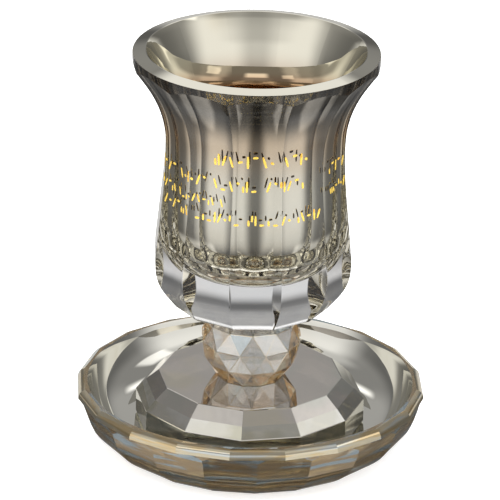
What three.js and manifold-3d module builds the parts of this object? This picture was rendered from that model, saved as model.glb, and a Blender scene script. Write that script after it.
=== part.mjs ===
// Kiddush cup of cut crystal, standing on its crystal saucer.
// Units are millimetres. +Z is up, the front faces -Y, and the origin is on the ground under the axis.
import * as THREE from "three";
import { mergeVertices } from "three/addons/utils/BufferGeometryUtils.js";
import Module from "manifold-3d";

const wasm = await Module();
wasm.setup();

// ---- driving dimensions ----

const ROUND_SEGMENTS = 96;

// saucer
const SAUCER_CORNER_RADIUS = 58.8;
const SAUCER_HEIGHT = 21.7;
const SAUCER_FACETS = 20;
const SAUCER_TURN_DEG = 2.9;
const SAUCER_FLOOR_Z = 7.6;
const SAUCER_FLOOR_RADIUS = 42;
const SAUCER_LIP_INNER_RADIUS = 54.7;

// foot
const FOOT_SIDES = 12;
const FOOT_TURN_DEG = -3.6;
const FOOT_CORNER_RADIUS = 38.6;
const FOOT_TOP_CORNER_RADIUS = 30.8;
const FOOT_WALL_TOP_Z = 16.5;
const FOOT_TOP_Z = 23.9;
const FOOT_UNDER_CHAMFER = 0.8;

// knop
const KNOP_SIDES = 12;
const KNOP_TURN_DEG = 2.7;
const KNOP_RADIUS = 16.9;
const KNOP_CENTRE_Z = 37.0;
const KNOP_ROW_RISE = 6.9;
const KNOP_ROW_RADIUS = 15.5;
const KNOP_TOP_RADIUS = 9.6;
const KNOP_BOTTOM_RADIUS = 11.3;

// bowl
const BOWL_SIDES = 12;
const BOWL_TURN_DEG = 17;
const BOWL_BASE_Z = 51.0;
const BOWL_TOP_Z = 140.3;
const BOWL_RIM_RADIUS = 40.9;
const BOWL_RIM_BEVEL_Z = 139.4;
const BOWL_MOUTH_RADIUS = 36.3;
const BOWL_CAVITY_BOTTOM_Z = 62.6;

// Half the width across flats of the bowl, at each height from the base up.
const BOWL_FLATS = [
  [25.4, BOWL_BASE_Z],
  [27.2, 53.2],
  [29.2, 55.9],
  [31.05, 59.0],
  [32.15, 62.4],
  [32.6, 66.2],
  [32.5, 70.5],
  [31.95, 76.0],
  [31.15, 84.0],
  [30.35, 92.0],
  [29.75, 100.0],
  [29.55, 107.0],
  [29.9, 114.0],
  [30.9, 119.0],
  [32.25, 123.0],
  [34.15, 127.0],
  [35.95, 130.0],
  [37.6, 132.5],
  [39.5, 135.2],
  [41.0, 137.4],
  [42.6, BOWL_TOP_Z + 1],
];

// Radius of the round cavity, from its deepest point up to the mouth.
const BOWL_CAVITY = [
  [0, BOWL_CAVITY_BOTTOM_Z],
  [6.0, 62.8],
  [12.0, 63.5],
  [17.0, 65.0],
  [21.0, 67.2],
  [24.0, 70.3],
  [25.9, 74.0],
  [26.9, 78.5],
  [27.2, 84.0],
  [27.1, 92.0],
  [26.7, 100.0],
  [26.5, 107.0],
  [26.5, 112.5],
  [26.9, 117.5],
  [27.8, 122.0],
  [29.1, 126.0],
  [30.8, 129.9],
  [32.6, 133.4],
  [34.5, 137.0],
  [BOWL_MOUTH_RADIUS, BOWL_TOP_Z],
];

// Corner radius of the saucer's long facets, from the base up and past the lip.
const SAUCER_FACETED_WALL = [
  [44.3, 0],
  [48.1, 2.5],
  [51.4, 5.2],
  [53.5, 7.5],
  [55.1, 9.8],
  [56.6, 13.0],
  [58.1, 17.2],
  [59.2, 20.2],
  [60.4, 23.0],
];

// Corner radius of the short facets round the lip, which sit half a facet round from the long ones.
const SAUCER_LIP = [
  [SAUCER_CORNER_RADIUS, -1],
  [SAUCER_CORNER_RADIUS, 20.5],
  [58.3, 21.1],
  [57.4, 21.5],
  [56.4, SAUCER_HEIGHT],
];

// Inside of the saucer, from the edge of its flat floor up to the lip.
const SAUCER_INSIDE = [
  [SAUCER_FLOOR_RADIUS, SAUCER_FLOOR_Z],
  [44.6, 8.0],
  [47.0, 9.1],
  [49.2, 10.8],
  [51.1, 13.0],
  [52.6, 15.6],
  [53.8, 18.6],
  [SAUCER_LIP_INNER_RADIUS, SAUCER_HEIGHT],
];

// ---- helpers ----

const MERGE_TOLERANCE = 1e-4;

// A solid turned about +Z from [radius, height] points, with corners at turnDeg from the front.
function turned(profile, sides, turnDeg = 0) {
  const points = profile.map(([radius, height]) => new THREE.Vector2(radius, height));
  const start = THREE.MathUtils.degToRad(turnDeg);
  const geometry = new THREE.LatheGeometry(points, sides, start, 2 * Math.PI);
  geometry.rotateX(Math.PI / 2);
  return toSolid(geometry);
}

function toSolid(geometry) {
  const bare = new THREE.BufferGeometry();
  bare.setAttribute("position", geometry.getAttribute("position"));
  bare.setIndex(geometry.getIndex());
  const merged = mergeVertices(bare, MERGE_TOLERANCE);
  const kept = [];
  const index = merged.index.array;
  for (let i = 0; i < index.length; i += 3) {
    const [a, b, c] = [index[i], index[i + 1], index[i + 2]];
    if (a !== b && b !== c && c !== a) kept.push(a, b, c);
  }
  const mesh = new wasm.Mesh({
    numProp: 3,
    vertProperties: new Float32Array(merged.attributes.position.array),
    triVerts: new Uint32Array(kept),
  });
  return new wasm.Manifold(mesh);
}

function toGeometry(solid) {
  const mesh = solid.getMesh();
  const geometry = new THREE.BufferGeometry();
  geometry.setAttribute("position", new THREE.BufferAttribute(mesh.vertProperties, 3));
  geometry.setIndex(new THREE.BufferAttribute(mesh.triVerts, 1));
  const flat = geometry.toNonIndexed();
  flat.computeVertexNormals();
  return flat;
}

function part(name, solid, material) {
  const mesh = new THREE.Mesh(toGeometry(solid), material);
  mesh.name = name;
  return mesh;
}

function crystal(colour, roughness, metalness) {
  return new THREE.MeshStandardMaterial({ color: colour, roughness, metalness });
}

// ---- saucer ----

function makeSaucer() {
  const above = SAUCER_HEIGHT + 1;
  const halfFacet = 180 / SAUCER_FACETS;
  const wall = turned([[0, 0], ...SAUCER_FACETED_WALL, [0, 23.0]], SAUCER_FACETS, SAUCER_TURN_DEG);
  const lip = turned(
    [[0, -1], ...SAUCER_LIP, [0, SAUCER_HEIGHT]],
    SAUCER_FACETS,
    SAUCER_TURN_DEG + halfFacet,
  );
  const inside = turned(
    [[0, SAUCER_FLOOR_Z], ...SAUCER_INSIDE, [SAUCER_LIP_INNER_RADIUS + 0.3, above], [0, above]],
    ROUND_SEGMENTS,
  );
  return part("saucer", wall.intersect(lip).subtract(inside), crystal(0xc9c2ac, 0.12, 0.2));
}

// ---- foot ----

function makeFoot() {
  const solid = turned(
    [
      [0, SAUCER_FLOOR_Z],
      [FOOT_CORNER_RADIUS - FOOT_UNDER_CHAMFER, SAUCER_FLOOR_Z],
      [FOOT_CORNER_RADIUS, SAUCER_FLOOR_Z + FOOT_UNDER_CHAMFER],
      [FOOT_CORNER_RADIUS, FOOT_WALL_TOP_Z],
      [FOOT_TOP_CORNER_RADIUS, FOOT_TOP_Z],
      [0, FOOT_TOP_Z],
    ],
    FOOT_SIDES,
    FOOT_TURN_DEG,
  );
  return part("foot", solid, crystal(0x8d8880, 0.1, 0.1));
}

// ---- knop ----

// One ring of corners; a half step turns it by half a facet.
function knopRing(radius, height, halfStep) {
  const ring = [];
  for (let i = 0; i < KNOP_SIDES; i += 1) {
    const step = (i + (halfStep ? 0.5 : 0)) * (360 / KNOP_SIDES);
    const angle = THREE.MathUtils.degToRad(KNOP_TURN_DEG + step);
    ring.push([radius * Math.sin(angle), -radius * Math.cos(angle), height]);
  }
  return ring;
}

// Triangular facets between rings that are turned half a step from one another.
function makeKnop() {
  const rings = [
    knopRing(KNOP_BOTTOM_RADIUS, FOOT_TOP_Z, true),
    knopRing(KNOP_ROW_RADIUS, KNOP_CENTRE_Z - KNOP_ROW_RISE, false),
    knopRing(KNOP_RADIUS, KNOP_CENTRE_Z, true),
    knopRing(KNOP_ROW_RADIUS, KNOP_CENTRE_Z + KNOP_ROW_RISE, false),
    knopRing(KNOP_TOP_RADIUS, BOWL_BASE_Z, true),
  ];
  const points = rings.flat();
  const at = (row, i) => row * KNOP_SIDES + ((i + KNOP_SIDES) % KNOP_SIDES);
  const triangles = [];
  for (let row = 0; row + 1 < rings.length; row += 1) {
    const lowerAhead = row % 2 === 0;
    for (let i = 0; i < KNOP_SIDES; i += 1) {
      if (lowerAhead) {
        triangles.push(at(row, i), at(row + 1, i + 1), at(row + 1, i));
        triangles.push(at(row, i), at(row, i + 1), at(row + 1, i + 1));
      } else {
        triangles.push(at(row, i), at(row, i + 1), at(row + 1, i));
        triangles.push(at(row + 1, i), at(row, i + 1), at(row + 1, i + 1));
      }
    }
  }
  const last = rings.length - 1;
  for (let i = 1; i + 1 < KNOP_SIDES; i += 1) {
    triangles.push(at(0, 0), at(0, i + 1), at(0, i));
    triangles.push(at(last, 0), at(last, i), at(last, i + 1));
  }
  const geometry = new THREE.BufferGeometry();
  geometry.setAttribute("position", new THREE.Float32BufferAttribute(points.flat(), 3));
  geometry.setIndex(triangles);
  return part("knop", toSolid(geometry), crystal(0xd2ab6a, 0.08, 0.3));
}

// ---- bowl ----

function makeBowl() {
  const corner = 1 / Math.cos(Math.PI / BOWL_SIDES);
  const topZ = BOWL_TOP_Z + 1;
  const facets = turned(
    [[0, BOWL_BASE_Z], ...BOWL_FLATS.map(([flat, z]) => [flat * corner, z]), [0, topZ]],
    BOWL_SIDES,
    BOWL_TURN_DEG,
  );
  const round = turned(
    [
      [0, BOWL_BASE_Z - 1],
      [BOWL_RIM_RADIUS - 0.2, BOWL_BASE_Z - 1],
      [BOWL_RIM_RADIUS - 0.2, 134.6],
      [BOWL_RIM_RADIUS, 136.4],
      [BOWL_RIM_RADIUS, BOWL_RIM_BEVEL_Z],
      [BOWL_MOUTH_RADIUS + 0.5, BOWL_TOP_Z],
      [0, BOWL_TOP_Z],
    ],
    ROUND_SEGMENTS,
  );
  const cavity = turned([...BOWL_CAVITY, [BOWL_MOUTH_RADIUS + 0.3, topZ], [0, topZ]], ROUND_SEGMENTS);
  return part("bowl", facets.intersect(round).subtract(cavity), crystal(0xdfe0e2, 0.06, 0.1));
}

// ---- assembly ----

const group = new THREE.Group();
group.name = "kiddush_cup";
group.add(makeSaucer(), makeFoot(), makeKnop(), makeBowl());

export default group;
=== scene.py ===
"""A cut-crystal kiddush cup standing loose in its crystal saucer."""

import math
import random

import bmesh
import bpy
from mathutils import Matrix, Vector


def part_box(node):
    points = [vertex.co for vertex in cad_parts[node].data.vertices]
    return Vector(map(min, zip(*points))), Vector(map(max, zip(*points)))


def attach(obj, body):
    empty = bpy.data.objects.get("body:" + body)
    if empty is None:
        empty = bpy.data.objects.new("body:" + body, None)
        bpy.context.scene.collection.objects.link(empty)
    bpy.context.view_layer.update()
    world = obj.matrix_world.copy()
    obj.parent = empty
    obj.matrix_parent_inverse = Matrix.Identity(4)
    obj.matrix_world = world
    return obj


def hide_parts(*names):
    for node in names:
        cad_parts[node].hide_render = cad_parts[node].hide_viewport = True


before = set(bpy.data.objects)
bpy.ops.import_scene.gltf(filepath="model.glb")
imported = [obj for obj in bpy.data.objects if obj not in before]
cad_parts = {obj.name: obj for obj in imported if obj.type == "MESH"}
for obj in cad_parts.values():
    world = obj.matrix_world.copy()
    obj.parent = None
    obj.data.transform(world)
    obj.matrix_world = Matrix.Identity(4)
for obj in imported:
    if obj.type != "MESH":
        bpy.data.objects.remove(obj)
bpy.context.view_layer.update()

MM = 0.001
JOINT = 0.04 * MM  # clear gap left between two pieces that touch

# Heights and radii that every piece is built from, in metres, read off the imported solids.
saucer_low, saucer_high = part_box("saucer")
foot_low, foot_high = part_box("foot")
bowl_low, bowl_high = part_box("bowl")
SAUCER_TOP = saucer_high.z
SAUCER_FLOOR = foot_low.z
FOOT_TOP = foot_high.z
BOWL_BASE = bowl_low.z
BOWL_TOP = bowl_high.z
RIM_RADIUS = bowl_high.x

# Turn of each faceted piece about the axis, in degrees from the front.
SAUCER_TURN = 2.9
FOOT_TURN = -3.6
KNOP_TURN = 2.7
BOWL_TURN = 17.0


# ---- curves and rings ----


def smooth_curve(points, steps):
    """Points along a soft curve through (radius, height) pairs, with steps to each span."""
    out = []
    count = len(points)
    for i in range(count - 1):
        before = points[max(i - 1, 0)]
        start, end = points[i], points[i + 1]
        after = points[min(i + 2, count - 1)]
        for k in range(steps):
            t = k / steps
            out.append(
                tuple(
                    0.5
                    * (
                        2 * start[a]
                        + (end[a] - before[a]) * t
                        + (2 * before[a] - 5 * start[a] + 4 * end[a] - after[a]) * t * t
                        + (3 * start[a] - before[a] - 3 * end[a] + after[a]) * t**3
                    )
                    for a in (0, 1)
                )
            )
    out.append(tuple(points[-1]))
    return out


def radius_at(curve, height):
    """The radius of a rising curve at a height."""
    if height <= curve[0][1]:
        return curve[0][0]
    for (r0, z0), (r1, z1) in zip(curve, curve[1:]):
        if height <= z1:
            return r0 + (r1 - r0) * (height - z0) / max(z1 - z0, 1e-9)
    return curve[-1][0]


def off_facet_centre(angle, turn, sides):
    """How far an angle lies from the middle of its facet, in radians."""
    step = 2 * math.pi / sides
    return (angle - math.radians(turn)) % step - step / 2


def facet_columns(turns, sides, inner, chamfer=0.0):
    """Angles round a piece: every corner of each turned polygon, with inner columns between.
    A chamfer puts two columns close beside each corner, that many radians away."""
    corners = sorted(
        {
            round((math.radians(turn) + k * 2 * math.pi / sides) % (2 * math.pi), 9)
            for turn in turns
            for k in range(sides)
        }
    )
    angles = []
    for i, start in enumerate(corners):
        end = corners[(i + 1) % len(corners)]
        if end <= start:
            end += 2 * math.pi
        low, high = start + chamfer, end - chamfer
        if chamfer:
            angles.append(low)
        else:
            angles.append(start)
        for k in range(1, inner + 1):
            angles.append(low + (high - low) * k / (inner + 1))
        if chamfer:
            angles.append(high)
    return angles


def polar(radius, angle, height):
    return Vector((radius * math.sin(angle), -radius * math.cos(angle), height))


def ring_mesh(
    name, angles, rings, finishes, sharp_columns=(), sharp_rings=(), sharp_span=None
):
    """A closed body of rings round the axis. A ring is a list of points, one to each angle, or a
    single point on the axis. finishes holds the material number of each band between two rings."""
    mesh = bpy.data.meshes.new(name)
    bm = bmesh.new()
    rows = [[bm.verts.new(p) for p in ring] for ring in rings]
    count = len(angles)
    for band, (low, high) in enumerate(zip(rows, rows[1:])):
        for i in range(count):
            j = (i + 1) % count
            if len(low) == 1:
                corners = (low[0], high[j], high[i])
            elif len(high) == 1:
                corners = (low[i], low[j], high[0])
            else:
                corners = (low[i], low[j], high[j], high[i])
            face = bm.faces.new(corners)
            face.material_index = finishes[band]
            face.smooth = True
    bm.normal_update()
    first, last = sharp_span or (0, len(rows) - 1)
    for i in sharp_columns:
        for low, high in zip(rows[first:last], rows[first + 1 : last + 1]):
            if len(low) > 1 and len(high) > 1:
                edge = bm.edges.get((low[i], high[i]))
                if edge:
                    edge.smooth = False
    for row in sharp_rings:
        for i in range(count):
            edge = bm.edges.get((rows[row][i], rows[row][(i + 1) % count]))
            if edge:
                edge.smooth = False
    bmesh.ops.recalc_face_normals(bm, faces=bm.faces)
    bm.to_mesh(mesh)
    bm.free()
    piece = bpy.data.objects.new(name, mesh)
    bpy.context.scene.collection.objects.link(piece)
    return piece


# ---- shared surface effects ----


def new_group(name, inputs, outputs):
    """An empty shader node group with its sockets, and its two end nodes."""
    group = bpy.data.node_groups.new(name, "ShaderNodeTree")
    for label, kind, value in inputs:
        socket = group.interface.new_socket(label, in_out="INPUT", socket_type=kind)
        socket.default_value = value
    for label, kind in outputs:
        group.interface.new_socket(label, in_out="OUTPUT", socket_type=kind)
    return group, group.nodes.new("NodeGroupInput"), group.nodes.new("NodeGroupOutput")


def make_polish_group():
    """Faint hand-polish haze: a roughness that drifts over the surface, with fine wipe streaks."""
    group, ins, outs = new_group(
        "polish haze",
        [
            ("Low", "NodeSocketFloat", 0.01),
            ("High", "NodeSocketFloat", 0.05),
            ("Patch Size", "NodeSocketFloat", 60.0),
        ],
        [("Roughness", "NodeSocketFloat")],
    )
    nodes, links = group.nodes, group.links
    place = nodes.new("ShaderNodeTexCoord")
    noise = nodes.new("ShaderNodeTexNoise")
    noise.inputs["Detail"].default_value = 3.0
    links.new(place.outputs["Object"], noise.inputs["Vector"])
    links.new(ins.outputs["Patch Size"], noise.inputs["Scale"])
    spread = nodes.new("ShaderNodeMapRange")
    spread.inputs["From Min"].default_value = 0.35
    spread.inputs["From Max"].default_value = 0.7
    links.new(noise.outputs["Fac"], spread.inputs["Value"])
    links.new(ins.outputs["Low"], spread.inputs["To Min"])
    links.new(ins.outputs["High"], spread.inputs["To Max"])
    links.new(spread.outputs["Result"], outs.inputs["Roughness"])
    return group


def make_film_group():
    """Thin coloured film on crystal: patches of warm and cool tint that follow the cut and drift
    along it."""
    group, ins, outs = new_group(
        "crystal film",
        [
            ("Base", "NodeSocketColor", (1, 1, 1, 1)),
            ("Warm", "NodeSocketColor", (1, 0.8, 0.5, 1)),
            ("Cool", "NodeSocketColor", (0.8, 0.9, 1, 1)),
            ("Patch Size", "NodeSocketFloat", 60.0),
            ("Band Size", "NodeSocketFloat", 4.0),
            ("Facet Share", "NodeSocketFloat", 0.02),
            ("Warm Share", "NodeSocketFloat", 0.5),
        ],
        [("Color", "NodeSocketColor")],
    )
    nodes, links = group.nodes, group.links
    place = nodes.new("ShaderNodeTexCoord")
    stretch = nodes.new("ShaderNodeCombineXYZ")
    stretch.inputs["X"].default_value = 1.0
    stretch.inputs["Y"].default_value = 1.0
    links.new(ins.outputs["Band Size"], stretch.inputs["Z"])
    banded = nodes.new("ShaderNodeVectorMath")
    banded.operation = "MULTIPLY"
    links.new(place.outputs["Object"], banded.inputs[0])
    links.new(stretch.outputs["Vector"], banded.inputs[1])
    facet = nodes.new("ShaderNodeVectorMath")
    facet.operation = "SCALE"
    links.new(place.outputs["Normal"], facet.inputs[0])
    links.new(ins.outputs["Facet Share"], facet.inputs["Scale"])
    spot = nodes.new("ShaderNodeVectorMath")
    links.new(banded.outputs[0], spot.inputs[0])
    links.new(facet.outputs[0], spot.inputs[1])
    noise = nodes.new("ShaderNodeTexNoise")
    noise.inputs["Detail"].default_value = 2.5
    noise.inputs["Roughness"].default_value = 0.45
    links.new(spot.outputs[0], noise.inputs["Vector"])
    links.new(ins.outputs["Patch Size"], noise.inputs["Scale"])
    lift = nodes.new("ShaderNodeMath")
    lift.operation = "ADD"
    links.new(noise.outputs["Fac"], lift.inputs[0])
    links.new(ins.outputs["Warm Share"], lift.inputs[1])
    colour = ins.outputs["Base"]
    for label, start, end in (("Warm", 1.02, 1.14), ("Cool", 0.96, 0.84)):
        share = nodes.new("ShaderNodeMapRange")
        share.interpolation_type = "SMOOTHSTEP"
        share.inputs["From Min"].default_value = start
        share.inputs["From Max"].default_value = end
        links.new(lift.outputs[0], share.inputs["Value"])
        blend = nodes.new("ShaderNodeMix")
        blend.data_type = "RGBA"
        links.new(share.outputs["Result"], blend.inputs["Factor"])
        links.new(colour, blend.inputs["A"])
        links.new(ins.outputs[label], blend.inputs["B"])
        colour = blend.outputs["Result"]
    links.new(colour, outs.inputs["Color"])
    return group


def make_ripple_group():
    """Faint waviness left by the cutting wheel, as a height for a bump."""
    group, ins, outs = new_group(
        "wheel ripple",
        [("Size", "NodeSocketFloat", 300.0), ("Stretch", "NodeSocketFloat", 0.25)],
        [("Height", "NodeSocketFloat")],
    )
    nodes, links = group.nodes, group.links
    place = nodes.new("ShaderNodeTexCoord")
    stretch = nodes.new("ShaderNodeCombineXYZ")
    stretch.inputs["X"].default_value = 1.0
    stretch.inputs["Y"].default_value = 1.0
    links.new(ins.outputs["Stretch"], stretch.inputs["Z"])
    scaled = nodes.new("ShaderNodeVectorMath")
    scaled.operation = "MULTIPLY"
    links.new(place.outputs["Object"], scaled.inputs[0])
    links.new(stretch.outputs["Vector"], scaled.inputs[1])
    noise = nodes.new("ShaderNodeTexNoise")
    noise.inputs["Detail"].default_value = 1.0
    links.new(scaled.outputs[0], noise.inputs["Vector"])
    links.new(ins.outputs["Size"], noise.inputs["Scale"])
    links.new(noise.outputs["Fac"], outs.inputs["Height"])
    return group


def make_edge_group():
    """Finds the cut edges, where the polish is worn: one on an edge, nothing on the flats."""
    group, ins, outs = new_group(
        "cut edges",
        [("Width", "NodeSocketFloat", 0.0003)],
        [("Mask", "NodeSocketFloat")],
    )
    nodes, links = group.nodes, group.links
    rounded = nodes.new("ShaderNodeBevel")
    rounded.samples = 4
    links.new(ins.outputs["Width"], rounded.inputs["Radius"])
    true_face = nodes.new("ShaderNodeNewGeometry")
    match = nodes.new("ShaderNodeVectorMath")
    match.operation = "DOT_PRODUCT"
    links.new(rounded.outputs["Normal"], match.inputs[0])
    links.new(true_face.outputs["Normal"], match.inputs[1])
    mask = nodes.new("ShaderNodeMapRange")
    mask.inputs["From Min"].default_value = 0.999
    mask.inputs["From Max"].default_value = 0.96
    links.new(match.outputs["Value"], mask.inputs["Value"])
    links.new(mask.outputs["Result"], outs.inputs["Mask"])
    return group


def make_fade_group():
    """Share that eases from nothing at one height to one at another."""
    group, ins, outs = new_group(
        "height fade",
        [("Start", "NodeSocketFloat", 0.0), ("End", "NodeSocketFloat", 0.1)],
        [("Share", "NodeSocketFloat")],
    )
    nodes, links = group.nodes, group.links
    place = nodes.new("ShaderNodeTexCoord")
    split = nodes.new("ShaderNodeSeparateXYZ")
    fade = nodes.new("ShaderNodeMapRange")
    fade.interpolation_type = "SMOOTHSTEP"
    links.new(place.outputs["Object"], split.inputs[0])
    links.new(split.outputs["Z"], fade.inputs["Value"])
    links.new(ins.outputs["Start"], fade.inputs["From Min"])
    links.new(ins.outputs["End"], fade.inputs["From Max"])
    links.new(fade.outputs["Result"], outs.inputs["Share"])
    return group


polish_haze = make_polish_group()
crystal_film = make_film_group()
wheel_ripple = make_ripple_group()
cut_edges = make_edge_group()
height_fade = make_fade_group()


def new_material(name):
    material = bpy.data.materials.new(name)
    material.use_nodes = True
    shader = material.node_tree.nodes["Principled BSDF"]
    return material, material.node_tree, shader


def add_group(tree, group, **values):
    """Adds a shared effect and sets its named inputs, with _ for a space."""
    node = tree.nodes.new("ShaderNodeGroup")
    node.node_tree = group
    for label, value in values.items():
        node.inputs[label.replace("_", " ")].default_value = value
    return node


def add_mix(tree, factor, a, b):
    """A colour mix; a and b are colours or sockets."""
    mix = tree.nodes.new("ShaderNodeMix")
    mix.data_type = "RGBA"
    tree.links.new(factor, mix.inputs["Factor"])
    for label, value in (("A", a), ("B", b)):
        if isinstance(value, tuple):
            mix.inputs[label].default_value = (*value, 1)
        else:
            tree.links.new(value, mix.inputs[label])
    return mix.outputs["Result"]


def add_polish(tree, shader, low, high, patch=60.0, worn=0.0):
    """Roughness from the polish, rougher along the cut edges when worn is set."""
    polish = add_group(tree, polish_haze, Low=low, High=high, Patch_Size=patch)
    rough = polish.outputs["Roughness"]
    if worn:
        edges = add_group(tree, cut_edges)
        wear = tree.nodes.new("ShaderNodeMath")
        wear.operation = "MULTIPLY_ADD"
        wear.inputs[1].default_value = worn
        tree.links.new(edges.outputs["Mask"], wear.inputs[0])
        tree.links.new(rough, wear.inputs[2])
        rough = wear.outputs[0]
    tree.links.new(rough, shader.inputs["Roughness"])


def add_ripple(tree, shader, depth, size=300.0, stretch=0.25):
    ripple = add_group(tree, wheel_ripple, Size=size, Stretch=stretch)
    bump = tree.nodes.new("ShaderNodeBump")
    bump.inputs["Strength"].default_value = 1.0
    bump.inputs["Distance"].default_value = depth
    tree.links.new(ripple.outputs["Height"], bump.inputs["Height"])
    tree.links.new(bump.outputs["Normal"], shader.inputs["Normal"])


def make_crystal(
    name, ior, film, metallic=0.0, high=0.015, ripple=0.01 * MM, clear=1.0, painted_grazing_glow=None
):
    """See-through cut crystal under a thin film: film holds the values of the crystal film, and the
    last argument those of a painted glow and shade laid on where it is seen at a low angle."""
    material, tree, shader = new_material(name)
    colour = add_group(tree, crystal_film, **film).outputs["Color"]
    if painted_grazing_glow:
        # Painted glow: colour set by view angle, strongest at grazing angles, standing in for light
        # caught inside the crystal.
        slant = tree.nodes.new("ShaderNodeLayerWeight")
        share = tree.nodes.new("ShaderNodeMapRange")
        share.interpolation_type = "SMOOTHSTEP"
        share.inputs["From Min"].default_value = 0.28
        share.inputs["From Max"].default_value = 0.72
        tree.links.new(slant.outputs["Facing"], share.inputs["Value"])
        painted_grazing_colour = add_group(tree, crystal_film, **painted_grazing_glow).outputs["Color"]
        colour = add_mix(tree, share.outputs["Result"], colour, painted_grazing_colour)
    tree.links.new(colour, shader.inputs["Base Color"])
    shader.inputs["Transmission Weight"].default_value = clear
    shader.inputs["Metallic"].default_value = metallic
    shader.inputs["IOR"].default_value = ior
    add_polish(tree, shader, 0.0, high, worn=0.08)
    add_ripple(tree, shader, ripple)
    return material


def make_silvering(name, colour, tarnish, low=0.005, high=0.03):
    """Bright mirror deposit with a faint drift of tone."""
    material, tree, shader = new_material(name)
    drift = add_group(
        tree,
        crystal_film,
        Base=(*colour, 1),
        Warm=(*tarnish, 1),
        Cool=(*colour, 1),
        Patch_Size=25.0,
        Band_Size=1.0,
        Facet_Share=0.0,
        Warm_Share=0.4,
    )
    tree.links.new(drift.outputs["Color"], shader.inputs["Base Color"])
    shader.inputs["Metallic"].default_value = 1.0
    add_polish(tree, shader, low, high)
    add_ripple(tree, shader, 0.01 * MM, 120.0, 1.0)
    return material, tree, shader, drift.outputs["Color"]


def make_lining():
    """Silvering of the cavity, with painted shade: a warm, darker painted shade low inside, and,
    seen from outside through the crystal, a painted warm brown shade on the upper body and a
    painted smoky shade on the flare."""
    material, tree, shader, silver = make_silvering(
        "bowl silvering", (0.82, 0.785, 0.67), (0.79, 0.73, 0.58)
    )
    # Painted shade inside the cavity: below 120 mm the silver seen from within is a warm, darker
    # tone, easing to plain silver by 130 mm.
    inside = add_group(tree, height_fade, Start=120 * MM, End=130 * MM)
    # Painted shade seen from outside through the crystal: a warm brown shade fades in over the
    # upper body from 98 to 116 mm.
    painted_warm_shade_belt = add_group(tree, height_fade, Start=98 * MM, End=116 * MM)
    # Painted smoky shade darkening the silver over the flare, from 118 to 130 mm.
    painted_dark_flare = add_group(tree, height_fade, Start=118 * MM, End=130 * MM)
    inside_painted_shade = add_mix(tree, inside.outputs["Share"], (0.73, 0.61, 0.49), silver)
    with_painted_warm_shade = add_mix(tree, painted_warm_shade_belt.outputs["Share"], silver, (0.7, 0.58, 0.43))
    outside_painted_shade = add_mix(tree, painted_dark_flare.outputs["Share"], with_painted_warm_shade, (0.42, 0.39, 0.34))
    face = tree.nodes.new("ShaderNodeNewGeometry")
    both = add_mix(tree, face.outputs["Backfacing"], inside_painted_shade, outside_painted_shade)
    tree.links.new(both, shader.inputs["Base Color"])
    return material


def make_print(name, colour, metal):
    material, tree, shader = new_material(name)
    tint = add_group(
        tree,
        crystal_film,
        Base=(*colour, 1),
        Warm=(colour[0], colour[1] * 0.72, colour[2] * 0.5, 1),
        Cool=(*colour, 1),
        Patch_Size=500.0,
        Band_Size=1.0,
        Facet_Share=0.0,
        Warm_Share=0.45,
    )
    tree.links.new(tint.outputs["Color"], shader.inputs["Base Color"])
    shader.inputs["Metallic"].default_value = metal
    add_polish(tree, shader, 0.25, 0.45, 400.0)
    add_ripple(tree, shader, 0.02 * MM, 900.0, 1.0)
    return material


bowl_crystal = make_crystal(
    "clear crystal",
    1.54,
    dict(
        Base=(0.97, 0.97, 0.985, 1),
        Warm=(0.98, 0.96, 0.95, 1),
        Cool=(0.95, 0.97, 1.0, 1),
        Patch_Size=20.0,
        Facet_Share=0.01,
    ),
    high=0.01,
    ripple=0.004 * MM,
)
bowl_silver = make_lining()
rim_silver = make_silvering("rim silvering", (0.53, 0.51, 0.445), (0.48, 0.46, 0.395))[0]
saucer_silver = make_silvering(
    "saucer silvering", (0.81, 0.795, 0.735), (0.77, 0.745, 0.67)
)[0]
saucer_crystal = make_crystal(
    "amber crystal film",
    1.54,
    dict(
        Base=(0.76, 0.58, 0.36, 1),
        Warm=(1.0, 0.77, 0.42, 1),
        Cool=(0.7, 0.86, 0.97, 1),
        Patch_Size=42.0,
        Band_Size=9.0,
        Facet_Share=0.055,
        Warm_Share=0.46,
    ),
    metallic=0.35,
    clear=0.95,
)
saucer_lip = make_crystal(
    "golden lip film",
    1.54,
    dict(
        Base=(0.98, 0.88, 0.66, 1),
        Warm=(1.0, 0.78, 0.45, 1),
        Cool=(0.88, 0.92, 0.9, 1),
        Patch_Size=60.0,
        Band_Size=6.0,
        Facet_Share=0.01,
    ),
    metallic=0.7,
)
foot_crystal = make_crystal(
    "smoke foot crystal",
    1.54,
    dict(
        Base=(0.86, 0.81, 0.76, 1),
        Warm=(0.88, 0.82, 0.7, 1),
        Cool=(0.78, 0.78, 0.72, 1),
        Patch_Size=30.0,
        Band_Size=1.0,
        Facet_Share=0.03,
    ),
    metallic=0.75,
)
# Painted shade: the upright wall of the smoke foot is given its own much darker olive tone, a
# shaded copy of the foot crystal.
foot_wall_painted_shade = make_crystal(
    "foot wall painted shade",
    1.54,
    dict(
        Base=(0.36, 0.35, 0.28, 1),
        Warm=(0.44, 0.4, 0.26, 1),
        Cool=(0.32, 0.34, 0.3, 1),
        Patch_Size=40.0,
        Band_Size=1.0,
        Facet_Share=0.05,
    ),
    metallic=0.45,
)
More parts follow.
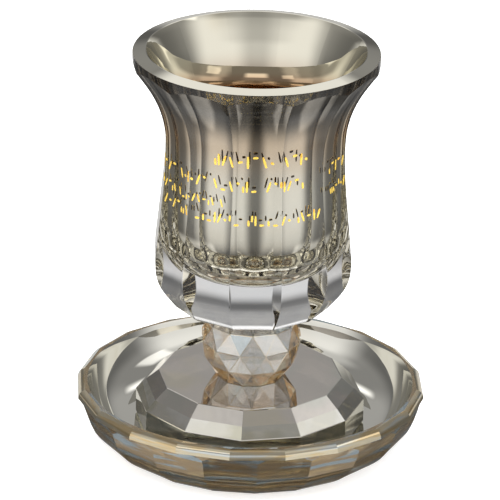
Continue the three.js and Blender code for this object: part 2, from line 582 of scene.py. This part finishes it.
# Painted highlight: the lower bevel of the smoke foot is given a lighter tone than its top, a lit
# copy of the foot crystal.
foot_bevel_painted_highlight = make_crystal(
    "foot bevel painted highlight",
    1.54,
    dict(
        Base=(0.82, 0.8, 0.72, 1),
        Warm=(0.93, 0.92, 0.88, 1),
        Cool=(0.7, 0.68, 0.56, 1),
        Patch_Size=60.0,
        Band_Size=1.0,
        Facet_Share=0.04,
    ),
    metallic=0.7,
)
foot_smoke = make_silvering("smoke backing", (0.62, 0.58, 0.54), (0.58, 0.54, 0.49))[0]
knop_crystal = make_crystal(
    "champagne crystal",
    1.46,
    dict(
        Base=(1.0, 0.985, 0.96, 1),
        Warm=(1.0, 0.9, 0.78, 1),
        Cool=(0.86, 0.95, 1.0, 1),
        Patch_Size=60.0,
        Band_Size=1.0,
        Facet_Share=0.03,
    ),
    metallic=0.45,
    clear=0.72,
    # Painted amber glow, with darker brown patches of painted shade, where the knop is seen at a
    # low angle.
    painted_grazing_glow=dict(
        Base=(0.9, 0.5, 0.13, 1),
        Warm=(1.0, 0.84, 0.5, 1),
        Cool=(0.24, 0.12, 0.04, 1),
        Patch_Size=260.0,
        Band_Size=1.0,
        Facet_Share=0.02,
        Warm_Share=0.48,
    ),
)
knop_edge = make_crystal(
    "amber cut edge",
    1.58,
    dict(
        Base=(1.0, 0.93, 0.8, 1),
        Warm=(1.0, 0.84, 0.6, 1),
        Cool=(0.96, 0.97, 0.95, 1),
        Patch_Size=120.0,
        Band_Size=1.0,
        Facet_Share=0.03,
    ),
    metallic=0.6,
)
gold = make_print("gold print", (0.9, 0.62, 0.1), 0.25)
gold_back = make_print("back of the print", (0.16, 0.11, 0.06), 0.0)


# ---- bowl ----

BOWL_SIDES = 12
BOWL_FLATS = [
    (25.4, 0.0),
    (27.2, 2.2),
    (29.2, 4.9),
    (31.05, 8.0),
    (32.15, 11.4),
    (32.6, 15.2),
    (32.5, 19.5),
    (31.95, 25.0),
    (31.15, 33.0),
    (30.35, 41.0),
    (29.75, 49.0),
    (29.55, 56.0),
    (29.9, 63.0),
    (30.9, 68.0),
    (32.25, 72.0),
    (34.15, 76.0),
    (35.95, 79.0),
    (37.6, 81.5),
    (39.5, 84.2),
    (41.0, 86.4),
    (42.6, 90.3),
]
BOWL_CAVITY = [
    (0.0, 11.6),
    (6.0, 11.8),
    (12.0, 12.5),
    (17.0, 14.0),
    (21.0, 16.2),
    (24.0, 19.3),
    (25.9, 23.0),
    (26.9, 27.5),
    (27.2, 33.0),
    (27.1, 41.0),
    (26.7, 49.0),
    (26.5, 56.0),
    (26.5, 61.5),
    (26.9, 66.5),
    (27.8, 71.0),
    (29.1, 75.0),
    (30.8, 78.9),
    (32.6, 82.4),
    (34.5, 86.0),
    (36.3, 89.3),
]
RIM_BEVEL_DROP = 0.9 * MM
RIDGE_CHAMFER = 0.0045  # radians each side of a ridge
BOWL_INNER_COLUMNS = 9  # columns across each flat, between its two chamfers
BOWL_ROWS = 64

bowl_flats_curve = [
    (r * MM, BOWL_BASE + z * MM) for r, z in smooth_curve(BOWL_FLATS, 4)
]


def bowl_radius(angle, height):
    """Radius of the outside of the bowl below its round rim."""
    flat = radius_at(bowl_flats_curve, height)
    turn = off_facet_centre(angle, BOWL_TURN, BOWL_SIDES)
    return flat / math.cos(turn)


def rim_edge_height(angle):
    """Height at which a facet runs out into the round rim."""
    low, high = BOWL_BASE + 80 * MM, BOWL_TOP
    for _ in range(30):
        middle = (low + high) / 2
        if bowl_radius(angle, middle) < RIM_RADIUS:
            low = middle
        else:
            high = middle
    return low


def build_bowl():
    angles = facet_columns([BOWL_TURN], BOWL_SIDES, BOWL_INNER_COLUMNS, RIDGE_CHAMFER)
    edge = [rim_edge_height(a) for a in angles]
    rings = [[Vector((0, 0, BOWL_BASE))]]
    for k in range(BOWL_ROWS + 1):
        t = k / BOWL_ROWS
        ring = []
        for a, top in zip(angles, edge):
            height = BOWL_BASE + (top - BOWL_BASE) * t
            ring.append(polar(bowl_radius(a, height), a, height))
        rings.append(ring)
    rim_start = len(rings) - 1
    bevel = BOWL_TOP - RIM_BEVEL_DROP
    for share in (0.5, 1.0):
        rings.append(
            [
                polar(RIM_RADIUS, a, e + (bevel - 0.25 * MM - e) * share)
                for a, e in zip(angles, edge)
            ]
        )
    rings.append([polar(RIM_RADIUS - 0.12 * MM, a, bevel) for a in angles])
    top_edge = len(rings) - 1
    mouth = BOWL_CAVITY[-1][0] * MM
    rings.append([polar(mouth + 0.35 * MM, a, BOWL_TOP) for a in angles])
    rings.append([polar(mouth + 0.05 * MM, a, BOWL_TOP - 0.08 * MM) for a in angles])
    lip_end = len(rings) - 1
    cavity = smooth_curve(BOWL_CAVITY, 3)
    for r, z in reversed(cavity[1:-1]):
        rings.append([polar(r * MM, a, BOWL_BASE + z * MM) for a in angles])
    rings.append([Vector((0, 0, BOWL_BASE + cavity[0][1] * MM))])
    finishes = [
        0 if band < top_edge else 2 if band < lip_end else 1
        for band in range(len(rings) - 1)
    ]
    per_flat = BOWL_INNER_COLUMNS + 2
    corner_columns = [i for i in range(len(angles)) if i % per_flat in (0, per_flat - 1)]
    piece = ring_mesh(
        "crystal_bowl",
        angles,
        rings,
        finishes,
        sharp_columns=corner_columns,
        sharp_rings=(1, rim_start, top_edge - 1, top_edge, lip_end - 1, lip_end),
        sharp_span=(1, rim_start),
    )
    piece.data.materials.append(bowl_crystal)
    piece.data.materials.append(bowl_silver)
    piece.data.materials.append(rim_silver)
    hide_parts("bowl")
    return piece


# ---- gilt strokes ----

STROKE_PROUD = 0.12 * MM
STROKE_SUNK = 0.03 * MM
# Each row: height of its middle, height of its strokes, first and last angle from the front.
STROKE_ROWS = [
    (112.0, 4.9, -26, 35.5),
    (103.4, 4.4, -80, 36),
    (97.0, 3.5, -80, -19),
    (91.8, 4.1, -70, 42),
    (105.3, 4.2, 55, 75),
    (98.1, 3.8, 56, 75),
]


def add_stroke(bm, angle, height, across, up, width):
    """One broad-pen stroke that follows the cut surface: across and up are its reach, in metres."""
    steps = 4
    radius = bowl_radius(angle, height)
    length = math.hypot(across, up)
    side_a, side_z = -up / length, across / length
    rows = []
    for k in range(steps + 1):
        t = k / steps
        swell = width * (0.32 + 0.68 * math.sin(math.pi * (0.12 + 0.8 * t)) ** 0.6) / 2
        row = []
        for side, lift in (
            (-1, STROKE_PROUD),
            (1, STROKE_PROUD),
            (1, -STROKE_SUNK),
            (-1, -STROKE_SUNK),
        ):
            a = angle + (across * (t - 0.5) + side * swell * side_a) / radius
            z = height + up * (t - 0.5) + side * swell * side_z
            row.append(bm.verts.new(polar(bowl_radius(a, z) + lift, a, z)))
        rows.append(row)
    for low, high in zip(rows, rows[1:]):
        for i in range(4):
            j = (i + 1) % 4
            face = bm.faces.new((low[i], low[j], high[j], high[i]))
            face.material_index = 1 if i == 2 else 0
    bm.faces.new(list(reversed(rows[0])))
    bm.faces.new(rows[-1])


# Kinds of mark, each as (lift of its middle, lean, rise, weight) in shares of the row's height.
TALL_MARKS = [
    (0.0, 0.0, 0.9, 1.0),
    (0.18, 0.02, 0.52, 1.05),
    (-0.2, -0.02, 0.5, 1.05),
    (0.0, 0.26, 0.8, 0.95),
    (0.0, -0.24, 0.78, 0.95),
]
WIDE_MARKS = [
    (0.34, 0.34, 0.03, 1.05),
    (0.02, 0.3, 0.05, 1.0),
    (-0.36, 0.36, 0.02, 1.05),
    (-0.05, 0.1, 0.16, 1.35),
    (0.28, 0.09, 0.15, 1.3),
]


# Clear gap between two marks, in pen widths: beside a wide mark, and between two tall ones.
WIDE_GAP = (1.25, 1.45)
TALL_GAP = (0.85, 1.05)


def write_row(bm, rng, middle, tall, first, last):
    """A row of separate marks in loose groups. No mark touches or crosses another."""
    radius = bowl_radius(0, middle)
    spot = math.radians(first) * radius
    end = math.radians(last) * radius
    pen = 0.17 * tall
    left_in_group = rng.randint(6, 10)
    wide = False
    while spot < end:
        lift, lean, rise, weight = rng.choice(WIDE_MARKS if wide else TALL_MARKS)
        wide_next = not wide and rng.random() < 0.6
        half_width = (abs(lean) * tall + 0.6 * pen) / 2
        spot += half_width
        add_stroke(
            bm,
            spot / radius,
            middle + lift * tall,
            lean * tall,
            rise * tall * rng.uniform(0.88, 1.0),
            pen * weight,
        )
        spot += half_width + pen * rng.uniform(*(WIDE_GAP if wide or wide_next else TALL_GAP))
        wide = wide_next
        left_in_group -= 1
        if left_in_group == 0:
            spot += 0.45 * tall
            left_in_group = rng.randint(6, 10)


def build_strokes():
    rng = random.Random(12)
    mesh = bpy.data.meshes.new("gilt_strokes")
    bm = bmesh.new()
    for middle, tall, first, last in STROKE_ROWS:
        write_row(bm, rng, middle * MM, tall * MM, first, last)
    bmesh.ops.recalc_face_normals(bm, faces=bm.faces)
    bm.to_mesh(mesh)
    bm.free()
    piece = bpy.data.objects.new("gilt_strokes", mesh)
    bpy.context.scene.collection.objects.link(piece)
    mesh.materials.append(gold)
    mesh.materials.append(gold_back)
    return piece


# ---- knop ----

KNOP_SIDES = 12
KNOP_MIDDLE = 13.1 * MM  # above the foot
# Each ring: its radius, its rise from the middle or None for an end, and 1 for a half-step turn.
KNOP_RINGS = [
    (11.3, None, 1),
    (15.5, -6.9, 0),
    (16.9, 0.0, 1),
    (15.5, 6.9, 0),
    (9.6, None, 1),
]


def build_knop():
    middle = FOOT_TOP + KNOP_MIDDLE
    mesh = bpy.data.meshes.new("crystal_knop")
    bm = bmesh.new()
    rows = []
    for number, (radius, rise, half) in enumerate(KNOP_RINGS):
        if rise is None:
            height = FOOT_TOP + JOINT if number == 0 else BOWL_BASE - JOINT
        else:
            height = middle + rise * MM
        rows.append(
            [
                bm.verts.new(
                    polar(
                        radius * MM,
                        math.radians(KNOP_TURN + (k + half / 2) * 360 / KNOP_SIDES),
                        height,
                    )
                )
                for k in range(KNOP_SIDES)
            ]
        )
    for number, (low, high) in enumerate(zip(rows, rows[1:])):
        for i in range(KNOP_SIDES):
            j = (i + 1) % KNOP_SIDES
            if number % 2 == 0:
                bm.faces.new((low[i], high[j], high[i]))
                bm.faces.new((low[i], low[j], high[j]))
            else:
                bm.faces.new((low[i], low[j], high[i]))
                bm.faces.new((high[i], low[j], high[j]))
    bm.faces.new(list(reversed(rows[0])))
    bm.faces.new(rows[-1])
    bmesh.ops.recalc_face_normals(bm, faces=bm.faces)
    cut = bmesh.ops.bevel(
        bm,
        geom=list(bm.edges),
        offset=0.14 * MM,
        segments=1,
        affect="EDGES",
        clamp_overlap=True,
    )
    for face in cut["faces"]:
        face.material_index = 1
    bm.to_mesh(mesh)
    bm.free()
    piece = bpy.data.objects.new("crystal_knop", mesh)
    bpy.context.scene.collection.objects.link(piece)
    mesh.materials.append(knop_crystal)
    mesh.materials.append(knop_edge)
    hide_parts("knop")
    return piece


# ---- foot ----

FOOT_SIDES = 12
FOOT_CORNER = 38.6
FOOT_TOP_CORNER = 30.8
FOOT_WALL_TOP = 16.5 * MM
FOOT_TIER_CORNER = 35.2
FOOT_TIER = 20.1 * MM


def build_foot():
    angles = facet_columns([FOOT_TURN], FOOT_SIDES, 0, 0.003)
    cut = math.cos(math.pi / FOOT_SIDES)

    def ring(corner, height):
        out = []
        for a in angles:
            turn = off_facet_centre(a, FOOT_TURN, FOOT_SIDES)
            out.append(polar(corner * MM * cut / math.cos(turn), a, height))
        return out

    soft = 0.12 * MM
    rings = [
        [Vector((0, 0, SAUCER_FLOOR + JOINT))],
        ring(FOOT_CORNER - 0.8, SAUCER_FLOOR + JOINT),
        ring(FOOT_CORNER, SAUCER_FLOOR + 0.8 * MM),
        ring(FOOT_CORNER, FOOT_WALL_TOP - soft),
        ring(FOOT_CORNER - 0.12, FOOT_WALL_TOP + soft),
        ring(FOOT_TIER_CORNER, FOOT_TIER),
        ring(FOOT_TOP_CORNER + 0.16, FOOT_TOP - soft),
        ring(FOOT_TOP_CORNER - 0.14, FOOT_TOP),
        [Vector((0, 0, FOOT_TOP))],
    ]
    # Finishes from the bottom up: smoke backing underneath, the painted-shade wall, plain crystal
    # at the wall's top edge, the painted-highlight lower bevel, then plain smoke crystal over the
    # upper bevel and the top.
    piece = ring_mesh("crystal_foot", angles, rings, [1, 3, 3, 0, 2, 0, 0, 0])
    for face in piece.data.polygons:
        face.use_smooth = False
    piece.data.materials.append(foot_crystal)
    piece.data.materials.append(foot_smoke)
    piece.data.materials.append(foot_bevel_painted_highlight)
    piece.data.materials.append(foot_wall_painted_shade)
    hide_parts("foot")
    return piece


# ---- saucer ----

SAUCER_FACETS = 20
SAUCER_CORNER = 58.8
SAUCER_ROW_EDGE = 9.8  # height at which the lower row of facets meets the upper
SAUCER_MOUTH = 54.7
SAUCER_ROWS = 12  # rings up each row of facets
SAUCER_BASE_ROW = [(44.3, 0), (48.1, 2.5), (51.4, 5.2), (53.5, 7.5), (55.1, SAUCER_ROW_EDGE)]
SAUCER_LONG_ROW = [(55.1, SAUCER_ROW_EDGE), (56.6, 13.0), (58.1, 17.2), (59.2, 20.2), (60.4, 23.0)]
SAUCER_LIP = [(58.8, 18.6), (58.75, 19.4), (58.4, 20.3), (57.6, 21.15), (56.4, 21.7)]
SAUCER_INSIDE = [
    (42.0, 7.6),
    (44.6, 8.0),
    (47.0, 9.1),
    (49.2, 10.8),
    (51.1, 13.0),
    (52.6, 15.6),
    (53.8, 18.6),
    (SAUCER_MOUTH, 21.7),
]

saucer_base_curve = smooth_curve(SAUCER_BASE_ROW, 4)
saucer_long_curve = smooth_curve(SAUCER_LONG_ROW, 4)


def saucer_wall_radius(angle, height):
    curve = saucer_base_curve if height <= SAUCER_ROW_EDGE else saucer_long_curve
    cut = math.cos(math.pi / SAUCER_FACETS)
    turn = off_facet_centre(angle, SAUCER_TURN, SAUCER_FACETS)
    return radius_at(curve, height) * cut / math.cos(turn)


def saucer_lip_factor(angle):
    cut = math.cos(math.pi / SAUCER_FACETS)
    turn = off_facet_centre(angle, SAUCER_TURN + 180 / SAUCER_FACETS, SAUCER_FACETS)
    return cut / math.cos(turn)


def saucer_edge_height(angle):
    """Height, in millimetres, at which a long facet meets the short facet above it."""
    lip = SAUCER_CORNER * saucer_lip_factor(angle)
    low, high = 12.0, 21.6
    for _ in range(30):
        middle = (low + high) / 2
        if saucer_wall_radius(angle, middle) < lip:
            low = middle
        else:
            high = middle
    return min(low, SAUCER_LIP[0][1] - 0.05)


def build_saucer():
    turns = [SAUCER_TURN, SAUCER_TURN + 180 / SAUCER_FACETS]
    angles = facet_columns(turns, SAUCER_FACETS, 4)
    edge = [saucer_edge_height(a) for a in angles]
    rings = [[Vector((0, 0, 0))]]
    for k in range(SAUCER_ROWS + 1):
        z = SAUCER_ROW_EDGE * k / SAUCER_ROWS
        rings.append([polar(saucer_wall_radius(a, z) * MM, a, z * MM) for a in angles])
    row_edge = len(rings) - 1
    for k in range(1, SAUCER_ROWS + 1):
        ring = []
        for a, top in zip(angles, edge):
            z = SAUCER_ROW_EDGE + (top - SAUCER_ROW_EDGE) * k / SAUCER_ROWS
            ring.append(polar(saucer_wall_radius(a, z) * MM, a, z * MM))
        rings.append(ring)
    lip_start = len(rings) - 1
    for r, z in SAUCER_LIP:
        rings.append([polar(r * saucer_lip_factor(a) * MM, a, z * MM) for a in angles])
    lip_end = len(rings) - 1
    inside = smooth_curve(SAUCER_INSIDE, 3)
    rings.append([polar((SAUCER_MOUTH + 0.15) * MM, a, SAUCER_TOP) for a in angles])
    inner_edge = len(rings) - 1
    for r, z in reversed(inside[:-1]):
        rings.append([polar(r * MM, a, z * MM) for a in angles])
    rings.append([Vector((0, 0, SAUCER_FLOOR))])
    finishes = [0] * (len(rings) - 1)
    for band in range(lip_start + 1, lip_end):
        finishes[band] = 2
    for band in range(inner_edge, len(finishes)):
        finishes[band] = 1
    piece = ring_mesh(
        "crystal_saucer",
        angles,
        rings,
        finishes,
        sharp_rings=(1, row_edge, lip_start, lip_start + 1, lip_end, inner_edge),
    )
    mark_saucer_ridges(piece, angles, row_edge, lip_start, lip_end)
    piece.data.materials.append(saucer_crystal)
    piece.data.materials.append(saucer_silver)
    piece.data.materials.append(saucer_lip)
    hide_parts("saucer")
    return piece


def mark_saucer_ridges(piece, angles, row_edge, lip_start, lip_end):
    """Sets the upright ridges of both rows of facets sharp."""
    bm = bmesh.new()
    bm.from_mesh(piece.data)
    bm.verts.ensure_lookup_table()
    count = len(angles)

    def vertex(row, column):
        return bm.verts[1 + (row - 1) * count + column]

    step = 2 * math.pi / SAUCER_FACETS
    for column, a in enumerate(angles):
        on_long = abs(abs(off_facet_centre(a, SAUCER_TURN, SAUCER_FACETS)) - step / 2) < 1e-5
        rows = range(1, lip_start) if on_long else range(lip_start, lip_end)
        if not on_long and abs(off_facet_centre(a, SAUCER_TURN, SAUCER_FACETS)) > 1e-5:
            continue
        for row in rows:
            edge = bm.edges.get((vertex(row, column), vertex(row + 1, column)))
            if edge:
                edge.smooth = False
    bm.to_mesh(piece.data)
    bm.free()


for piece in (build_bowl(), build_strokes(), build_knop(), build_foot(), build_saucer()):
    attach(piece, "root")


# ---- studio ----


def build_floor():
    mesh = bpy.data.meshes.new("studio_floor")
    bm = bmesh.new()
    bmesh.ops.create_circle(bm, cap_ends=True, segments=96, radius=2.5)
    bm.to_mesh(mesh)
    bm.free()
    floor = bpy.data.objects.new("studio_floor", mesh)
    floor.location.z = saucer_low.z - 0.02 * MM
    bpy.context.scene.collection.objects.link(floor)
    material, tree, shader = new_material("studio paper")
    shader.inputs["Base Color"].default_value = (0.93, 0.93, 0.93, 1)
    shader.inputs["Roughness"].default_value = 0.9
    shader.inputs["Emission Color"].default_value = (1, 1, 1, 1)
    shader.inputs["Emission Strength"].default_value = 0.6
    mesh.materials.append(material)
    floor.visible_glossy = False
    floor.visible_transmission = False


def add_softbox(name, position, target, size, power, colour=(1, 1, 1)):
    lamp = bpy.data.lights.new(name, "AREA")
    lamp.shape = "RECTANGLE"
    lamp.size, lamp.size_y = size
    lamp.energy = power
    lamp.color = colour
    holder = bpy.data.objects.new(name, lamp)
    holder.location = position
    aim = Vector(target) - Vector(position)
    holder.rotation_euler = aim.to_track_quat("-Z", "Y").to_euler()
    holder.visible_glossy = False
    holder.visible_transmission = False
    bpy.context.scene.collection.objects.link(holder)


class LightSketch:
    """Small helper that writes a brightness as a formula over the direction of a ray."""

    def __init__(self, tree):
        self.nodes, self.links = tree.nodes, tree.links

    def put(self, socket, value):
        if isinstance(value, (int, float)):
            socket.default_value = value
        else:
            self.links.new(value, socket)

    def math(self, operation, *values):
        node = self.nodes.new("ShaderNodeMath")
        node.operation = operation
        for socket, value in zip(node.inputs, values):
            self.put(socket, value)
        return node.outputs[0]

    def ramp(self, value, start, end, low=0.0, high=1.0):
        """Eases from low to high as value goes from start to end."""
        node = self.nodes.new("ShaderNodeMapRange")
        node.interpolation_type = "SMOOTHSTEP"
        self.put(node.inputs["Value"], value)
        limits = {"From Min": start, "From Max": end, "To Min": low, "To Max": high}
        for label, number in limits.items():
            self.put(node.inputs[label], number)
        return node.outputs["Result"]

    def window(self, value, start, full, fade, end):
        """One between full and fade, easing to nothing at start and end."""
        rise = self.ramp(value, start, full)
        fall = self.ramp(value, fade, end, 1.0, 0.0)
        return self.math("MULTIPLY", rise, fall)

    def total(self, *values):
        result = values[0]
        for value in values[1:]:
            result = self.math("ADD", result, value)
        return result

    def product(self, *values):
        result = values[0]
        for value in values[1:]:
            result = self.math("MULTIPLY", result, value)
        return result


def build_world():
    """Soft studio air: a grey room with two tall softboxes before the cup, low and high side
    lights, and a pale sweep and a back light behind it."""
    world = bpy.data.worlds.new("studio air")
    bpy.context.scene.world = world
    world.use_nodes = True
    tree = world.node_tree
    sketch = LightSketch(tree)
    place = tree.nodes.new("ShaderNodeTexCoord")
    split = tree.nodes.new("ShaderNodeSeparateXYZ")
    tree.links.new(place.outputs["Generated"], split.inputs[0])
    x, y, z = split.outputs
    forward = sketch.math("MULTIPLY", y, -1.0)
    turn = sketch.math("MULTIPLY", sketch.math("ARCTAN2", x, forward), 180 / math.pi)
    side = sketch.math("ABSOLUTE", turn)

    dim = sketch.ramp(z, -0.98, -0.4, 0.12, 1.0)
    room = sketch.total(
        sketch.ramp(side, 4, 25, 0.2, 0.3),
        sketch.ramp(side, 60, 110, 0.0, -0.15),
        sketch.ramp(z, 0.15, 0.45, 0.0, 0.12),
    )
    between = sketch.product(
        sketch.ramp(side, 5, 30, 1.0, 0.0),
        sketch.window(z, -0.4, 0.5, 0.52, 0.66),
        0.35,
    )
    boxes = sketch.product(
        sketch.window(side, 6, 32, 64, 94),
        sketch.ramp(z, 0.5, 0.66, 1.0, 0.0),
        0.57,
    )
    high_sides = sketch.product(
        sketch.window(side, 45, 65, 85, 110),
        sketch.ramp(z, 0.5, 0.66),
        0.25,
    )
    high_left = sketch.product(
        sketch.window(turn, -75, -66, -36, -27),
        sketch.window(z, 0.7, 0.75, 0.86, 0.91),
        0.7,
    )
    high_right = sketch.product(
        sketch.window(turn, 70, 78, 102, 112),
        sketch.window(z, 0.5, 0.55, 0.7, 0.76),
        0.7,
    )
    sweep = sketch.product(
        sketch.ramp(sketch.math("ADD", side, sketch.math("MULTIPLY", z, 80)), 122, 140),
        sketch.window(z, -0.9, -0.55, 0.02, 0.16),
        0.55,
    )
    low_sides = sketch.product(
        sketch.window(side, 50, 66, 112, 132),
        sketch.window(z, -0.95, -0.9, -0.74, -0.6),
        0.5,
    )
    back_glow = sketch.product(
        sketch.ramp(side, 130, 160),
        sketch.window(z, 0.2, 0.3, 0.5, 0.6),
        0.14,
    )
    back_light = sketch.product(
        sketch.ramp(side, 140, 160),
        sketch.window(z, 0.52, 0.6, 0.76, 0.86),
        1.15,
    )
    brightness = sketch.total(
        sketch.product(sketch.total(room, between, boxes), dim),
        high_sides,
        high_left,
        high_right,
        sweep,
        low_sides,
        back_glow,
        back_light,
    )
    tint = tree.nodes.new("ShaderNodeMix")
    tint.data_type = "RGBA"
    tint.blend_type = "MULTIPLY"
    tint.inputs["Factor"].default_value = 1.0
    tint.inputs["A"].default_value = (1.0, 0.995, 0.98, 1)
    tree.links.new(brightness, tint.inputs["B"])
    tree.links.new(tint.outputs["Result"], tree.nodes["Background"].inputs["Color"])


build_floor()
build_world()
add_softbox("top softbox", (0.0, -0.3, 1.3), (0, 0, 0.08), (1.2, 1.0), 22)
add_softbox("left softbox", (-1.2, -0.5, 0.7), (0, 0, 0.08), (0.7, 1.2), 9)
add_softbox("right softbox", (1.2, -0.4, 0.7), (0, 0, 0.08), (0.6, 1.2), 7)


# ---- camera ----


def build_camera():
    """Looks down at the cup from the front with a long lens, turned about a degree on its axis."""
    data = bpy.data.cameras.new("studio camera")
    camera = bpy.data.objects.new("studio camera", data)
    bpy.context.scene.collection.objects.link(camera)
    distance = 1.6
    elevation = math.radians(22.723)
    roll = math.radians(1.175)
    ahead = Vector((0, math.cos(elevation), -math.sin(elevation)))
    up = Vector((0, math.sin(elevation), math.cos(elevation)))
    aim = Vector((0, 0, 70 * MM)) - Vector((0.91 * MM, 0, 0)) - up * (1.09 * MM)
    camera.location = aim - ahead * distance
    turn = ahead.to_track_quat("-Z", "Y").to_matrix().to_4x4() @ Matrix.Rotation(roll, 4, "Z")
    camera.rotation_euler = turn.to_euler()
    data.sensor_width = 36.0
    data.lens = 345.3
    data.clip_end = 20
    bpy.context.scene.camera = camera


build_camera()

scene = bpy.context.scene
scene.view_settings.view_transform = "Standard"
scene.cycles.use_denoising = True
scene.cycles.max_bounces = 24
scene.cycles.transmission_bounces = 20
scene.cycles.glossy_bounces = 12
scene.cycles.caustics_reflective = True
scene.cycles.caustics_refractive = True
